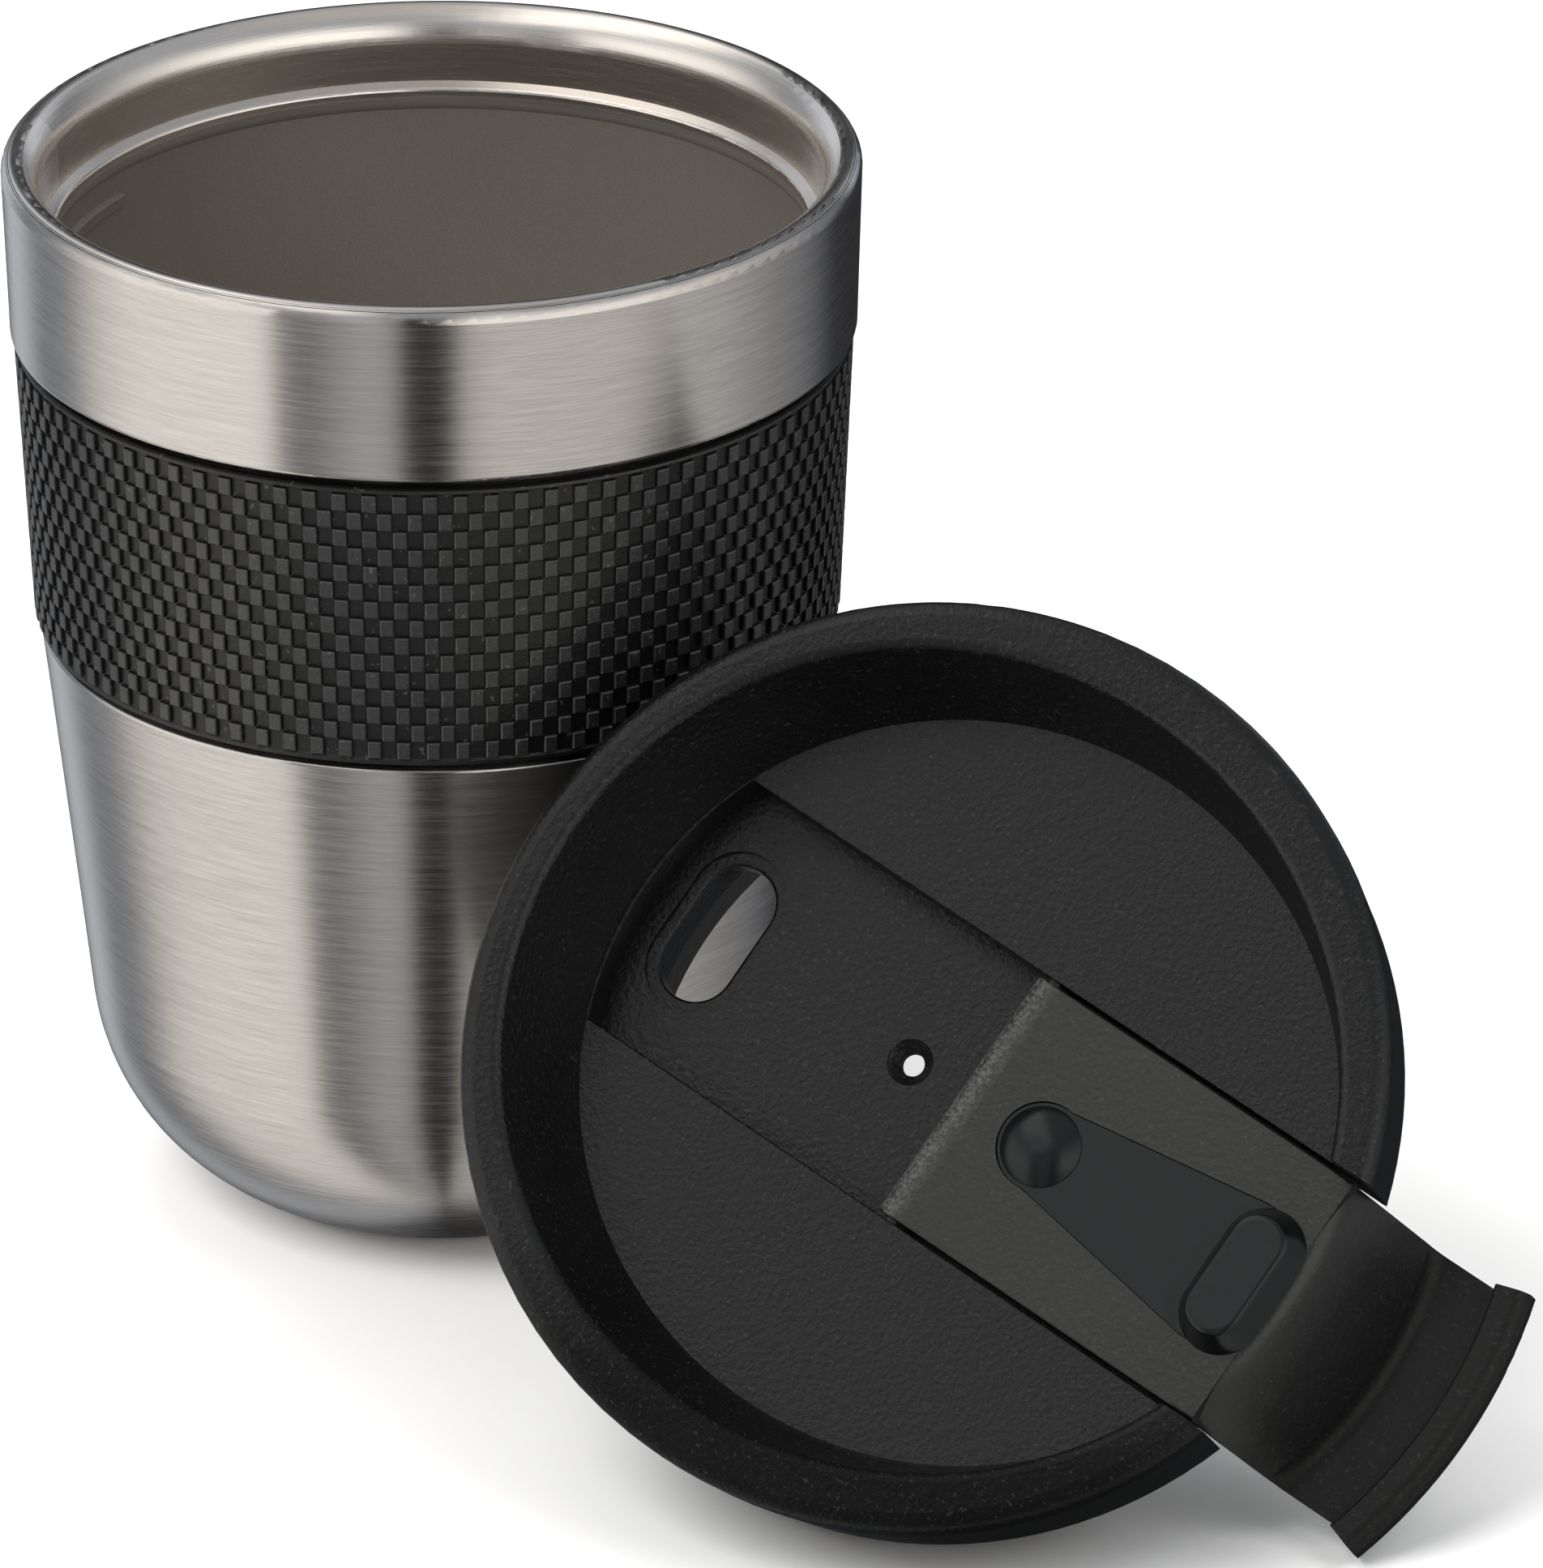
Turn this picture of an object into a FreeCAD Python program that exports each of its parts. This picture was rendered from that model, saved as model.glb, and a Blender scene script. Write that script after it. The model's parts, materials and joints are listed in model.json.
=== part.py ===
import FreeCAD, Part
import math
import os
import Sketcher

doc = FreeCAD.newDocument("travel_mug")

# ---------------------------------------------------------------- sizes (mm)
SIZES = {
    # outer shell
    "wall": 0.5, "rim_r": 42.0, "rim_round": 1.4, "rim_centre_z": 107.8,
    "seam_r": 41.5, "seam_z": 108.872, "seam_in_r": 41.179, "seam_in_z": 108.489,
    "band_low_r": 41.55, "band_low_z": 91.6, "band_step_r": 39.3, "band_step_z": 90.6,
    "groove_top_r": 39.3, "groove_low_r": 38.1, "groove_low_z": 61.0,
    "body_top_r": 39.35, "body_top_z": 60.4, "corner_r": 35.17, "corner_z": 20.4,
    "corner_round": 24.3, "corner_in_round": 23.6, "foot_r": 20.2, "foot_z": 0.49,
    # lip and inner vessel
    "lip_out_r": 41.257, "lip_out_z": 109.036, "lip_in_r": 41.022, "lip_in_z": 108.595,
    "crest_r": 39.846, "crest_z": 108.979, "lip_round": 4.0, "neck_r": 38.0,
    "neck_top_z": 105.61, "ledge_z": 101.7, "ledge_r": 36.9, "ledge_low_z": 100.3,
    "vessel_r": 37.4, "vessel_z": 98.9, "vessel_low_r": 31.6, "vessel_low_z": 21.5,
    "vessel_round": 14.5, "vessel_out_round": 15.0, "vessel_floor_r": 17.6, "vessel_floor_z": 7.0,
    "lug_z": 95.4, "lug_tall": 1.7, "lug_deep": 0.85, "lug_span": 37.0,
    # grip sleeve
    "sleeve_top_r": 41.05, "sleeve_low_r": 39.75, "sleeve_top_z": 90.5, "sleeve_low_z": 61.15,
    "fit_gap": 0.1,
    # base
    "plate_r": 19.6, "plate_z": 1.9, "plate_thick": 0.5, "dimple_r": 5.0, "dimple_z": 3.0,
    "pad_r": 18.6, "pad_in_r": 6.4, "seal_r": 1.4, "seal_tall": 0.5,
    "getter_r": 4.5, "getter_tall": 1.0, "clip_r": 5.4, "clip_thick": 0.3,
    "foil_gap": 0.35, "foil_thick": 0.2,
    # lid (its own axis, height 0 at the two D-shaped platforms)
    "lid_r": 44.4, "lid_seat_r": 43.2, "lid_seat": 9.0, "lid_floor": 6.6, "lid_tall": 14.0,
    "crest_mid": 8.3, "crest_slope": 0.09, "bowl_x": 1.9, "bowl_long": 37.8, "bowl_wide": 35.5,
    "bowl_top_r": 41.6, "crest_out": 1.55, "crest_in": 1.05,
    "channel_half": 13.85, "channel_deep": 4.6, "channel_end_r": 35.6, "notch_r": 37.9,
    "drink_x": 28.7, "drink_half_w": 3.7, "drink_half_l": 7.2, "dish_half_w": 4.9,
    "dish_half_l": 8.6, "dish_deep": 0.5, "collar_half_w": 4.6, "collar_half_l": 8.3,
    "collar_low": 7.3, "vent_x": 5.0, "vent_r": 1.15, "vent_flare": 1.15,
    "rib_half": 15.7, "hollow_r": 33.4, "skin": 2.0,
    # plug ring under the lid
    "plug_r": 37.5, "plug_in_r": 34.2, "plug_shelf_r": 31.0, "plug_shelf_thick": 1.6,
    "gasket_top": 14.4, "gasket_groove_r": 35.5, "gasket_low": 16.8, "plug_low_r": 36.1,
    "plug_low": 17.9, "gasket_r": 38.2,
    "oring_r": 36.0, "oring_thick": 0.55,
    # hinge and flap, opened flat
    "hinge_x": 3.5, "hinge_z": 1.9, "pin_r": 0.8, "pin_half": 15.5, "pin_bore_r": 0.86,
    "pin_seat_r": 0.82, "flap_half": 13.45, "flap_thick": 3.4, "flap_top": 0.2,
    "knuckle_r": 1.7, "flat_end": 39.4, "mirror_x": 7.0,
    "bend_x": 41.53, "bend_z": 1.67, "bend_round": 2.43, "riser_x": 47.1, "riser_z": 14.3,
    "riser_round": 2.0, "band_x": 49.1, "band_z": 16.3, "step_x": 54.3, "band_back_z": 18.4,
    "back_top_x": 40.28, "back_low_x": 45.5, "back_low_z": 15.7, "back_band_x": 47.8,
    "lip_end_x": 57.8, "lip_top_z": 14.2, "lip_low_z": 18.6, "lip_span": 34.0,
    "tab_round": 1.5, "edge_round": 0.3,
    # silicone insert of the flap
    "web_deep": 1.05, "web_top": 0.35, "web_x": 12.0, "web_r": 4.4, "web_tan_x": 12.687,
    "web_tan_y": 4.347, "web_wide_x": 33.6, "web_half": 7.45, "web_round": 3.75,
    "web_far_x": 35.35, "web_end_x": 39.1, "web_end_y": 3.7,
    "dome_r": 5.02, "dome_top": 1.05, "plug_x": 35.9, "stem_half_w": 2.9, "stem_half_l": 6.4,
    "stub_half_w": 4.1, "stub_half_l": 7.6, "stub_gap": 0.08,
    "stub_top": 3.2, "stub_taper": 22.0, "stub_round": 0.7,
    # where the lid stands
    "lid_x": 49.06, "lid_y": -64.22, "lid_z": 39.83,
    "lid_turn": -18.65, "lid_lean": 37.83, "lid_spin": -24.32,
}

sheet = doc.addObject("Spreadsheet::Sheet", "Sizes")
for row, (alias, number) in enumerate(SIZES.items(), start=1):
    sheet.set("A%d" % row, alias)
    sheet.set("B%d" % row, str(number))
    sheet.setAlias("B%d" % row, alias)
doc.recompute()

parts = []


# ---------------------------------------------------------------- helpers
def size(terms):
    """Value and sheet expression of a sum such as ("rim_r", "-wall", 0.3)."""
    if not isinstance(terms, tuple):
        terms = (terms,)
    value = 0.0
    words = []
    for term in terms:
        if isinstance(term, str):
            sign = -1.0 if term[0] == "-" else 1.0
            alias = term.lstrip("-")
            value += sign * SIZES[alias]
            words.append(("- " if sign < 0 else "+ ") + "Sizes." + alias)
        else:
            value += term
            words.append("%s %g" % ("-" if term < 0 else "+", abs(term)))
    return value, "0 " + " ".join(words)


def new_body(name):
    body = doc.addObject("PartDesign::Body", name)
    body.Label = name
    parts.append(body)
    return body


def new_sketch(body, name, plane, lift=None):
    sketch = body.newObject("Sketcher::SketchObject", name)
    role = [item for item in body.Origin.OriginFeatures if item.Role == plane][0]
    sketch.AttachmentSupport = [(role, "")]
    sketch.MapMode = "FlatFace"
    if lift is not None:
        sketch.setExpression("AttachmentOffset.Base.z", size(lift)[1])
    return sketch


def bind(sketch, index, terms):
    sketch.setExpression("Constraints[%d]" % index, size(terms)[1])


def pin_point(sketch, edge, end, place):
    """Dimension one sketch vertex from the origin, each way."""
    for kind, axis, terms in (("DistanceX", -2, place[0]), ("DistanceY", -1, place[1])):
        value = size(terms)[0]
        if abs(value) < 1e-9:
            sketch.addConstraint(Sketcher.Constraint("PointOnObject", edge, end, axis))
        else:
            index = sketch.addConstraint(Sketcher.Constraint(kind, -1, 1, edge, end, value))
            bind(sketch, index, terms)


def arc_between(start, end, radius):
    """Arc from start to end; a positive radius keeps the centre on the left of the way."""
    middle = (start + end) * 0.5
    way = end - start
    half = way.Length / 2
    left = FreeCAD.Vector(-way.y, way.x, 0).normalize()
    reach = math.sqrt(max(radius * radius - half * half, 0.0))
    centre = middle + left * (reach if radius > 0 else -reach)
    first = math.atan2(start.y - centre.y, start.x - centre.x)
    last = math.atan2(end.y - centre.y, end.x - centre.x)
    if radius < 0:
        first, last = last, first
    circle = Part.Circle(centre, FreeCAD.Vector(0, 0, 1), abs(radius))
    return Part.ArcOfCircle(circle, first, last)


def outline(sketch, places):
    """Closed outline of (x, y) or (x, y, arc radius to the next vertex)."""
    points = [FreeCAD.Vector(size(place[0])[0], size(place[1])[0], 0) for place in places]
    count = len(places)
    ends = []
    for number, place in enumerate(places):
        start, end = points[number], points[(number + 1) % count]
        if len(place) > 2:
            sign = -1.0 if isinstance(place[2], str) and place[2][0] == "-" else 1.0
            radius = SIZES[place[2].lstrip("-")] * sign
            edge = sketch.addGeometry(arc_between(start, end, radius), False)
            ends.append((edge, 1, 2) if radius > 0 else (edge, 2, 1))
        else:
            edge = sketch.addGeometry(Part.LineSegment(start, end), False)
            ends.append((edge, 1, 2))
    for number, (edge, first, last) in enumerate(ends):
        following = ends[(number + 1) % count]
        sketch.addConstraint(Sketcher.Constraint("Coincident", edge, last, following[0], following[1]))
    for number, place in enumerate(places):
        pin_point(sketch, ends[number][0], ends[number][1], place)
        if len(place) > 2:
            alias = place[2].lstrip("-")
            index = sketch.addConstraint(
                Sketcher.Constraint("Radius", ends[number][0], SIZES[alias]))
            bind(sketch, index, alias)
    return sketch


def stadium(sketch, x_sign, x_alias, half_wide, half_long):
    """Slot outline, long way along Y, centred at x."""
    x = x_sign * SIZES[x_alias]
    wide, tall = size(half_wide)[0], size(half_long)[0]
    reach = tall - wide
    vector = FreeCAD.Vector
    top = sketch.addGeometry(Part.ArcOfCircle(
        Part.Circle(vector(x, reach, 0), vector(0, 0, 1), wide), 0, math.pi), False)
    low = sketch.addGeometry(Part.ArcOfCircle(
        Part.Circle(vector(x, -reach, 0), vector(0, 0, 1), wide), math.pi, 2 * math.pi), False)
    near = sketch.addGeometry(Part.LineSegment(vector(x - wide, reach, 0),
                                               vector(x - wide, -reach, 0)), False)
    far = sketch.addGeometry(Part.LineSegment(vector(x + wide, -reach, 0),
                                              vector(x + wide, reach, 0)), False)
    for one, first, two, second in ((top, 2, near, 1), (near, 2, low, 1),
                                    (low, 2, far, 1), (far, 2, top, 1)):
        sketch.addConstraint(Sketcher.Constraint("Tangent", one, first, two, second))
    sketch.addConstraint(Sketcher.Constraint("Vertical", near))
    index = sketch.addConstraint(Sketcher.Constraint("Radius", top, wide))
    bind(sketch, index, half_wide)
    index = sketch.addConstraint(Sketcher.Constraint("DistanceX", -1, 1, top, 3, x))
    sketch.setExpression("Constraints[%d]" % index, "%d * Sizes.%s" % (x_sign, x_alias))
    index = sketch.addConstraint(Sketcher.Constraint("DistanceY", -1, 1, top, 3, reach))
    sketch.setExpression("Constraints[%d]" % index,
                         "(%s) - (%s)" % (size(half_long)[1], size(half_wide)[1]))
    index = sketch.addConstraint(Sketcher.Constraint("DistanceY", low, 3, -1, 1, reach))
    sketch.setExpression("Constraints[%d]" % index,
                         "(%s) - (%s)" % (size(half_long)[1], size(half_wide)[1]))
    return sketch


def circle_at(sketch, x_sign, x_alias, radius):
    x = x_sign * SIZES[x_alias] if x_alias else 0.0
    ring = sketch.addGeometry(Part.Circle(FreeCAD.Vector(x, 0, 0), FreeCAD.Vector(0, 0, 1),
                                          size(radius)[0]), False)
    sketch.addConstraint(Sketcher.Constraint("PointOnObject", ring, 3, -1))
    if x_alias:
        index = sketch.addConstraint(Sketcher.Constraint("DistanceX", -1, 1, ring, 3, x))
        sketch.setExpression("Constraints[%d]" % index, "%d * Sizes.%s" % (x_sign, x_alias))
    else:
        sketch.addConstraint(Sketcher.Constraint("PointOnObject", ring, 3, -2))
    index = sketch.addConstraint(Sketcher.Constraint("Radius", ring, size(radius)[0]))
    bind(sketch, index, radius)
    return sketch


def turn(body, sketch, kind="Revolution", angle=None, centred=False, axis="V_Axis"):
    feature = body.newObject("PartDesign::" + kind, sketch.Name + "_turn")
    feature.Profile = sketch
    feature.ReferenceAxis = (sketch, [axis])
    if angle is None:
        feature.Angle = 360.0
    else:
        feature.setExpression("Angle", size(angle)[1])
    feature.Midplane = centred
    sketch.Visibility = False
    doc.recompute()
    return feature


def extrude(body, sketch, kind, length, centred=False, reverse=False):
    feature = body.newObject("PartDesign::" + kind, sketch.Name + "_" + kind.lower())
    feature.Profile = sketch
    feature.setExpression("Length", size(length)[1])
    feature.Midplane = centred
    feature.Reversed = reverse
    sketch.Visibility = False
    doc.recompute()
    return feature


def revolved(name, places):
    body = new_body(name)
    turn(body, outline(new_sketch(body, name + "_profile", "XZ_Plane"), places))
    return body


def round_edges(body, base, alias, wanted, kind="Fillet"):
    names = ["Edge%d" % (number + 1) for number, edge in enumerate(base.Shape.Edges)
             if wanted(edge)]
    feature = body.newObject("PartDesign::" + kind, "%s_%s_%d" % (body.Name, kind.lower(),
                                                               len(body.Group)))
    feature.Base = (base, names)
    feature.setExpression("Radius" if kind == "Fillet" else "Size", size(alias)[1])
    doc.recompute()
    return feature


# ---------------------------------------------------------------- mug
def make_outer_shell():
    revolved("outer_shell", [
        ("seam_r", "seam_z", "-rim_round"),
        ("rim_r", "rim_centre_z"),
        ("band_low_r", "band_low_z"),
        ("band_step_r", "band_step_z"),
        ("groove_low_r", "groove_low_z"),
        ("body_top_r", "body_top_z"),
        ("corner_r", "corner_z", "-corner_round"),
        ("foot_r", "foot_z"),
        (("foot_r", "-wall"), ("foot_z",)),
        (("foot_r", "-wall"), ("foot_z", 0.85), "corner_in_round"),
        (("corner_r", "-wall"), ("corner_z", 0.05)),
        (("body_top_r", "-wall"), ("body_top_z", -0.3)),
        (("groove_low_r", "-wall"), ("groove_low_z",)),
        (("band_step_r", "-wall"), ("band_step_z", 0.4)),
        (("band_low_r", "-wall"), ("band_low_z", 0.3)),
        (("rim_r", "-wall"), ("rim_centre_z",)),
        ("seam_in_r", "seam_in_z"),
    ])
    body = doc.getObject("outer_shell")
    round_edges(body, body.Tip, 0.45, lambda edge: is_ring(edge, SIZES["band_low_r"],
                                                          SIZES["band_low_z"]))
    round_edges(body, body.Tip, 0.3, lambda edge: is_ring(edge, SIZES["body_top_r"],
                                                         SIZES["body_top_z"]))


def is_ring(edge, radius, height, slack=0.02):
    """True for a full circle about Z of this radius at this height."""
    curve = edge.Curve
    if not isinstance(curve, Part.Circle):
        return False
    centre = curve.Center
    return (abs(curve.Radius - radius) < slack and abs(centre.z - height) < slack
            and math.hypot(centre.x, centre.y) < slack)


def make_inner_vessel():
    wall = "wall"
    body = revolved("inner_vessel", [
        ("lip_out_r", "lip_out_z", "rim_round"),
        ("crest_r", "crest_z", "lip_round"),
        ("neck_r", "neck_top_z"),
        ("neck_r", "ledge_z"),
        ("ledge_r", ("ledge_z", -0.5)),
        ("ledge_r", "ledge_low_z"),
        ("vessel_r", "vessel_z"),
        ("vessel_low_r", "vessel_low_z", "-vessel_round"),
        ("vessel_floor_r", "vessel_floor_z"),
        (0, "vessel_floor_z"),
        (0, ("vessel_floor_z", "-wall")),
        ("vessel_floor_r", ("vessel_floor_z", "-wall"), "vessel_out_round"),
        (("vessel_low_r", wall), ("vessel_low_z",)),
        (("vessel_r", wall), ("vessel_z",)),
        (("ledge_r", wall), ("ledge_low_z", 0.1)),
        (("ledge_r", wall), ("ledge_z", -0.9)),
        (("neck_r", wall), ("ledge_z", -0.4)),
        (("neck_r", wall), ("neck_top_z",)),
        (("neck_r", 1.6), ("crest_z", -1.2)),
        ("lip_in_r", "lip_in_z"),
    ])
    round_edges(body, body.Tip, 0.35, lambda edge: is_ring(edge, SIZES["ledge_r"],
                                                          SIZES["ledge_z"] - 0.5))
    sketch = outline(new_sketch(body, "lug_profile", "XZ_Plane"), [
        (("vessel_r", 0.3), ("lug_z",)),
        (("vessel_r", "-lug_deep"), ("lug_z", 0.35)),
        (("vessel_r", "-lug_deep"), ("lug_z", "lug_tall", -0.35)),
        (("vessel_r", 0.3), ("lug_z", "lug_tall")),
    ])
    lug = turn(body, sketch, "Revolution", "lug_span", True)
    pattern = body.newObject("PartDesign::PolarPattern", "lug_pattern")
    pattern.Originals = [lug]
    pattern.Axis = ([item for item in body.Origin.OriginFeatures if item.Role == "Z_Axis"][0], [""])
    pattern.Angle = 360.0
    pattern.Occurrences = 2
    body.Tip = pattern
    doc.recompute()
    body.Placement = FreeCAD.Placement(FreeCAD.Vector(0, 0, 0), FreeCAD.Rotation(167, 0, 0))


def make_mug_details():
    revolved("rim_weld", [
        (("seam_r", -0.05), ("seam_z", 0.05)),
        (("lip_out_r", 0.07), ("lip_out_z", -0.01)),
        (("lip_in_r", 0.1), ("lip_in_z", 0.02)),
        (("seam_in_r",), ("seam_in_z", 0.06)),
    ])
    revolved("grip_sleeve", [
        (("band_step_r", "fit_gap"), ("sleeve_top_z",)),
        (("sleeve_top_r", -0.5), ("sleeve_top_z",)),
        (("sleeve_top_r",), ("sleeve_top_z", -0.6)),
        (("sleeve_low_r",), ("sleeve_low_z", 0.4)),
        (("sleeve_low_r", -0.4), ("sleeve_low_z",)),
        (("groove_low_r", "fit_gap", 0.02), ("sleeve_low_z",)),
    ])
    revolved("base_plate", [
        (0, "dimple_z"),
        ("dimple_r", "dimple_z"),
        (("dimple_r", 0.6), ("plate_z",)),
        (("plate_r", -1.2), ("plate_z",)),
        (("plate_r", -0.6), ("foot_z",)),
        (("plate_r",), ("foot_z",)),
        (("plate_r",), ("foot_z", 0.5)),
        (("plate_r", -0.4), ("plate_z", "plate_thick")),
        (("dimple_r", 0.7), ("plate_z", "plate_thick")),
        (("dimple_r", 0.2), ("dimple_z", "plate_thick")),
        (0, ("dimple_z", "plate_thick")),
    ])
    revolved("base_weld", [
        (("plate_r", -0.05), ("foot_z", -0.16)),
        (("foot_r", "-wall", 0.05), ("foot_z", -0.16)),
        (("foot_r", "-wall", 0.05), ("foot_z", -0.02)),
        (("plate_r", -0.05), ("foot_z", -0.02)),
    ])
    revolved("vacuum_seal", [
        (0, ("dimple_z", -0.03)),
        ("seal_r", ("dimple_z", -0.03)),
        (("seal_r", -0.5), ("dimple_z", "-seal_tall")),
        (0, ("dimple_z", "-seal_tall", -0.1)),
    ])
    revolved("foot_pad", [
        ("pad_in_r", ("plate_z", -0.05)),
        ("pad_in_r", 0.25),
        (("pad_in_r", 0.25), 0),
        (("pad_r", -0.5), 0),
        (("pad_r", -0.25), 0.25),
        (("pad_r", -0.25), ("plate_z", -0.05)),
    ])
    revolved("heat_shield", [
        (("vessel_r", "wall", "foil_gap"), ("vessel_z", -4.0)),
        (("vessel_low_r", "wall", "foil_gap"), ("vessel_low_z",)),
        (("vessel_low_r", "wall", "foil_gap", "foil_thick"), ("vessel_low_z",)),
        (("vessel_r", "wall", "foil_gap", "foil_thick"), ("vessel_z", -4.0)),
    ])


def make_getter():
    pill = doc.addObject("Part::Cylinder", "getter_pill")
    pill.setExpression("Radius", "Sizes.getter_r")
    pill.setExpression("Height", "Sizes.getter_tall")
    pill.setExpression("Placement.Base.z", "Sizes.vessel_floor_z - Sizes.wall - Sizes.getter_tall - 0.05")
    edge = doc.addObject("Part::Chamfer", "getter")
    edge.Base = pill
    doc.recompute()
    edge.Edges = [(number + 1, 0.15, 0.15) for number, item in enumerate(pill.Shape.Edges)
                  if isinstance(item.Curve, Part.Circle)]
    edge.Label = "getter"
    pill.Visibility = False
    parts.append(edge)
    revolved("getter_clip", [
        (("clip_r",), ("vessel_floor_z", "-wall", -0.05)),
        (("clip_r", 1.6), ("vessel_floor_z", "-wall", -0.05)),
        (("clip_r", 1.6), ("vessel_floor_z", "-wall", -0.05, "-clip_thick")),
        (("clip_r", "clip_thick"), ("vessel_floor_z", "-wall", -0.05, "-clip_thick")),
        (("clip_r", "clip_thick"), ("vessel_floor_z", "-wall", "-getter_tall", -0.5)),
        (("clip_r", -2.4), ("vessel_floor_z", "-wall", "-getter_tall", -0.5)),
        (("clip_r", -2.4), ("vessel_floor_z", "-wall", "-getter_tall", -0.5, "clip_thick")),
        (("clip_r",), ("vessel_floor_z", "-wall", "-getter_tall", -0.5, "clip_thick")),
    ])


# ---------------------------------------------------------------- lid
def make_lid_shell():
    body = revolved("lid_shell", [
        (0, ("-lid_floor",)),
        (("plug_r", "fit_gap"), ("-lid_floor",)),
        (("plug_r", "fit_gap"), ("-lid_seat",)),
        (("lid_seat_r", -0.5), ("-lid_seat",)),
        ("lid_seat_r", ("-lid_seat", 0.5)),
        (("lid_r", -0.2), (1.5,)),
        (("lid_r",), (5.5,)),
        (("lid_r",), ("lid_tall",)),
        (0, ("lid_tall",)),
    ])
    # the bowl: an ellipse at the platforms opening to a circle at the top
    low = new_sketch(body, "bowl_low", "XY_Plane")
    rim = low.addGeometry(Part.Ellipse(
        FreeCAD.Vector(SIZES["bowl_x"] + SIZES["bowl_long"], 0, 0),
        FreeCAD.Vector(SIZES["bowl_x"], SIZES["bowl_wide"], 0),
        FreeCAD.Vector(SIZES["bowl_x"], 0, 0)), False)
    low.exposeInternalGeometry(rim)
    low.addConstraint(Sketcher.Constraint("Horizontal", rim + 1))
    low.addConstraint(Sketcher.Constraint("PointOnObject", rim, 3, -1))
    index = low.addConstraint(Sketcher.Constraint("DistanceX", -1, 1, rim, 3, SIZES["bowl_x"]))
    bind(low, index, "bowl_x")
    for line, alias in ((rim + 1, "bowl_long"), (rim + 2, "bowl_wide")):
        index = low.addConstraint(Sketcher.Constraint("Distance", line, 2 * SIZES[alias]))
        low.setExpression("Constraints[%d]" % index, "2 * Sizes." + alias)
    doc.recompute()
    high = circle_at(new_sketch(body, "bowl_high", "XY_Plane", "lid_tall"), 1, None, "bowl_top_r")
    bowl = body.newObject("PartDesign::SubtractiveLoft", "bowl")
    bowl.Profile = low
    bowl.Sections = [high]
    bowl.Ruled = True
    doc.recompute()
    low.Visibility = False
    high.Visibility = False
    # the rim falls from the drinking side to the hinge side
    slope = new_sketch(body, "rim_slope", "XZ_Plane")
    far = 60.0
    drop = far * SIZES["crest_slope"]
    corners = [(-far, SIZES["crest_mid"] + drop), (far, SIZES["crest_mid"] - drop),
               (far, SIZES["lid_tall"] + 6), (-far, SIZES["lid_tall"] + 6)]
    vectors = [FreeCAD.Vector(x, y, 0) for x, y in corners]
    for number in range(4):
        slope.addGeometry(Part.LineSegment(vectors[number], vectors[(number + 1) % 4]), False)
    for number in range(4):
        slope.addConstraint(Sketcher.Constraint("Coincident", number, 2, (number + 1) % 4, 1))
    for number, (x, y) in enumerate(corners):
        slope.addConstraint(Sketcher.Constraint("DistanceX", -1, 1, number, 1, x))
        index = slope.addConstraint(Sketcher.Constraint("DistanceY", -1, 1, number, 1, y))
        if number < 2:
            slope.setExpression("Constraints[%d]" % index,
                                "Sizes.crest_mid %s %g * Sizes.crest_slope"
                                % ("+" if x < 0 else "-", far))
    extrude(body, slope, "Pocket", 120.0, centred=True)
    before = body.Tip
    crest = top_edges(before.Shape)
    outer = [name for name, edge in crest if edge_reach(edge) > SIZES["lid_r"] - 0.3]
    rounded = body.newObject("PartDesign::Fillet", "crest_outside")
    rounded.Base = (before, outer)
    rounded.setExpression("Radius", "Sizes.crest_out")
    doc.recompute()
    crest = top_edges(rounded.Shape)
    inner = [name for name, edge in crest
             if edge_reach(edge) < SIZES["lid_r"] - SIZES["crest_out"] - 0.5]
    inside = body.newObject("PartDesign::Fillet", "crest_inside")
    inside.Base = (rounded, inner)
    inside.setExpression("Radius", "Sizes.crest_in")
    doc.recompute()
    # channel for the flap, open through the rim on the hinge side
    end_x = math.sqrt(SIZES["channel_end_r"] ** 2 - SIZES["channel_half"] ** 2)
    channel = new_sketch(body, "channel", "XY_Plane", "lid_tall")
    slot_outline(channel, -end_x, 60.0, "channel_end_r")
    extrude(body, channel, "Pocket", ("lid_tall", "channel_deep"))
    notch = new_sketch(body, "notch", "XY_Plane", "lid_tall")
    notch_x = math.sqrt(SIZES["notch_r"] ** 2 - SIZES["channel_half"] ** 2)
    slot_outline(notch, notch_x, 60.0, "notch_r")
    extrude(body, notch, "Pocket", ("lid_tall", 30.0))
    cut_holes(body)
    round_edges(body, body.Tip, "edge_round",
                lambda edge: runs_along(edge, SIZES["channel_half"], 0.0))
    return body


def edge_reach(edge):
    """Mean distance of an edge from the lid's axis."""
    points = edge.discretize(9)
    return sum(math.hypot(point.x, point.y) for point in points) / len(points)


def top_edges(shape):
    """Edges that lie in the sloping plane of the rim."""
    found = []
    for number, edge in enumerate(shape.Edges):
        off = [abs(point.z - SIZES["crest_mid"] + SIZES["crest_slope"] * point.x)
               for point in edge.discretize(7)]
        if max(off) < 0.02 and edge.Length > 20:
            found.append(("Edge%d" % (number + 1), edge))
    return found


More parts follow.
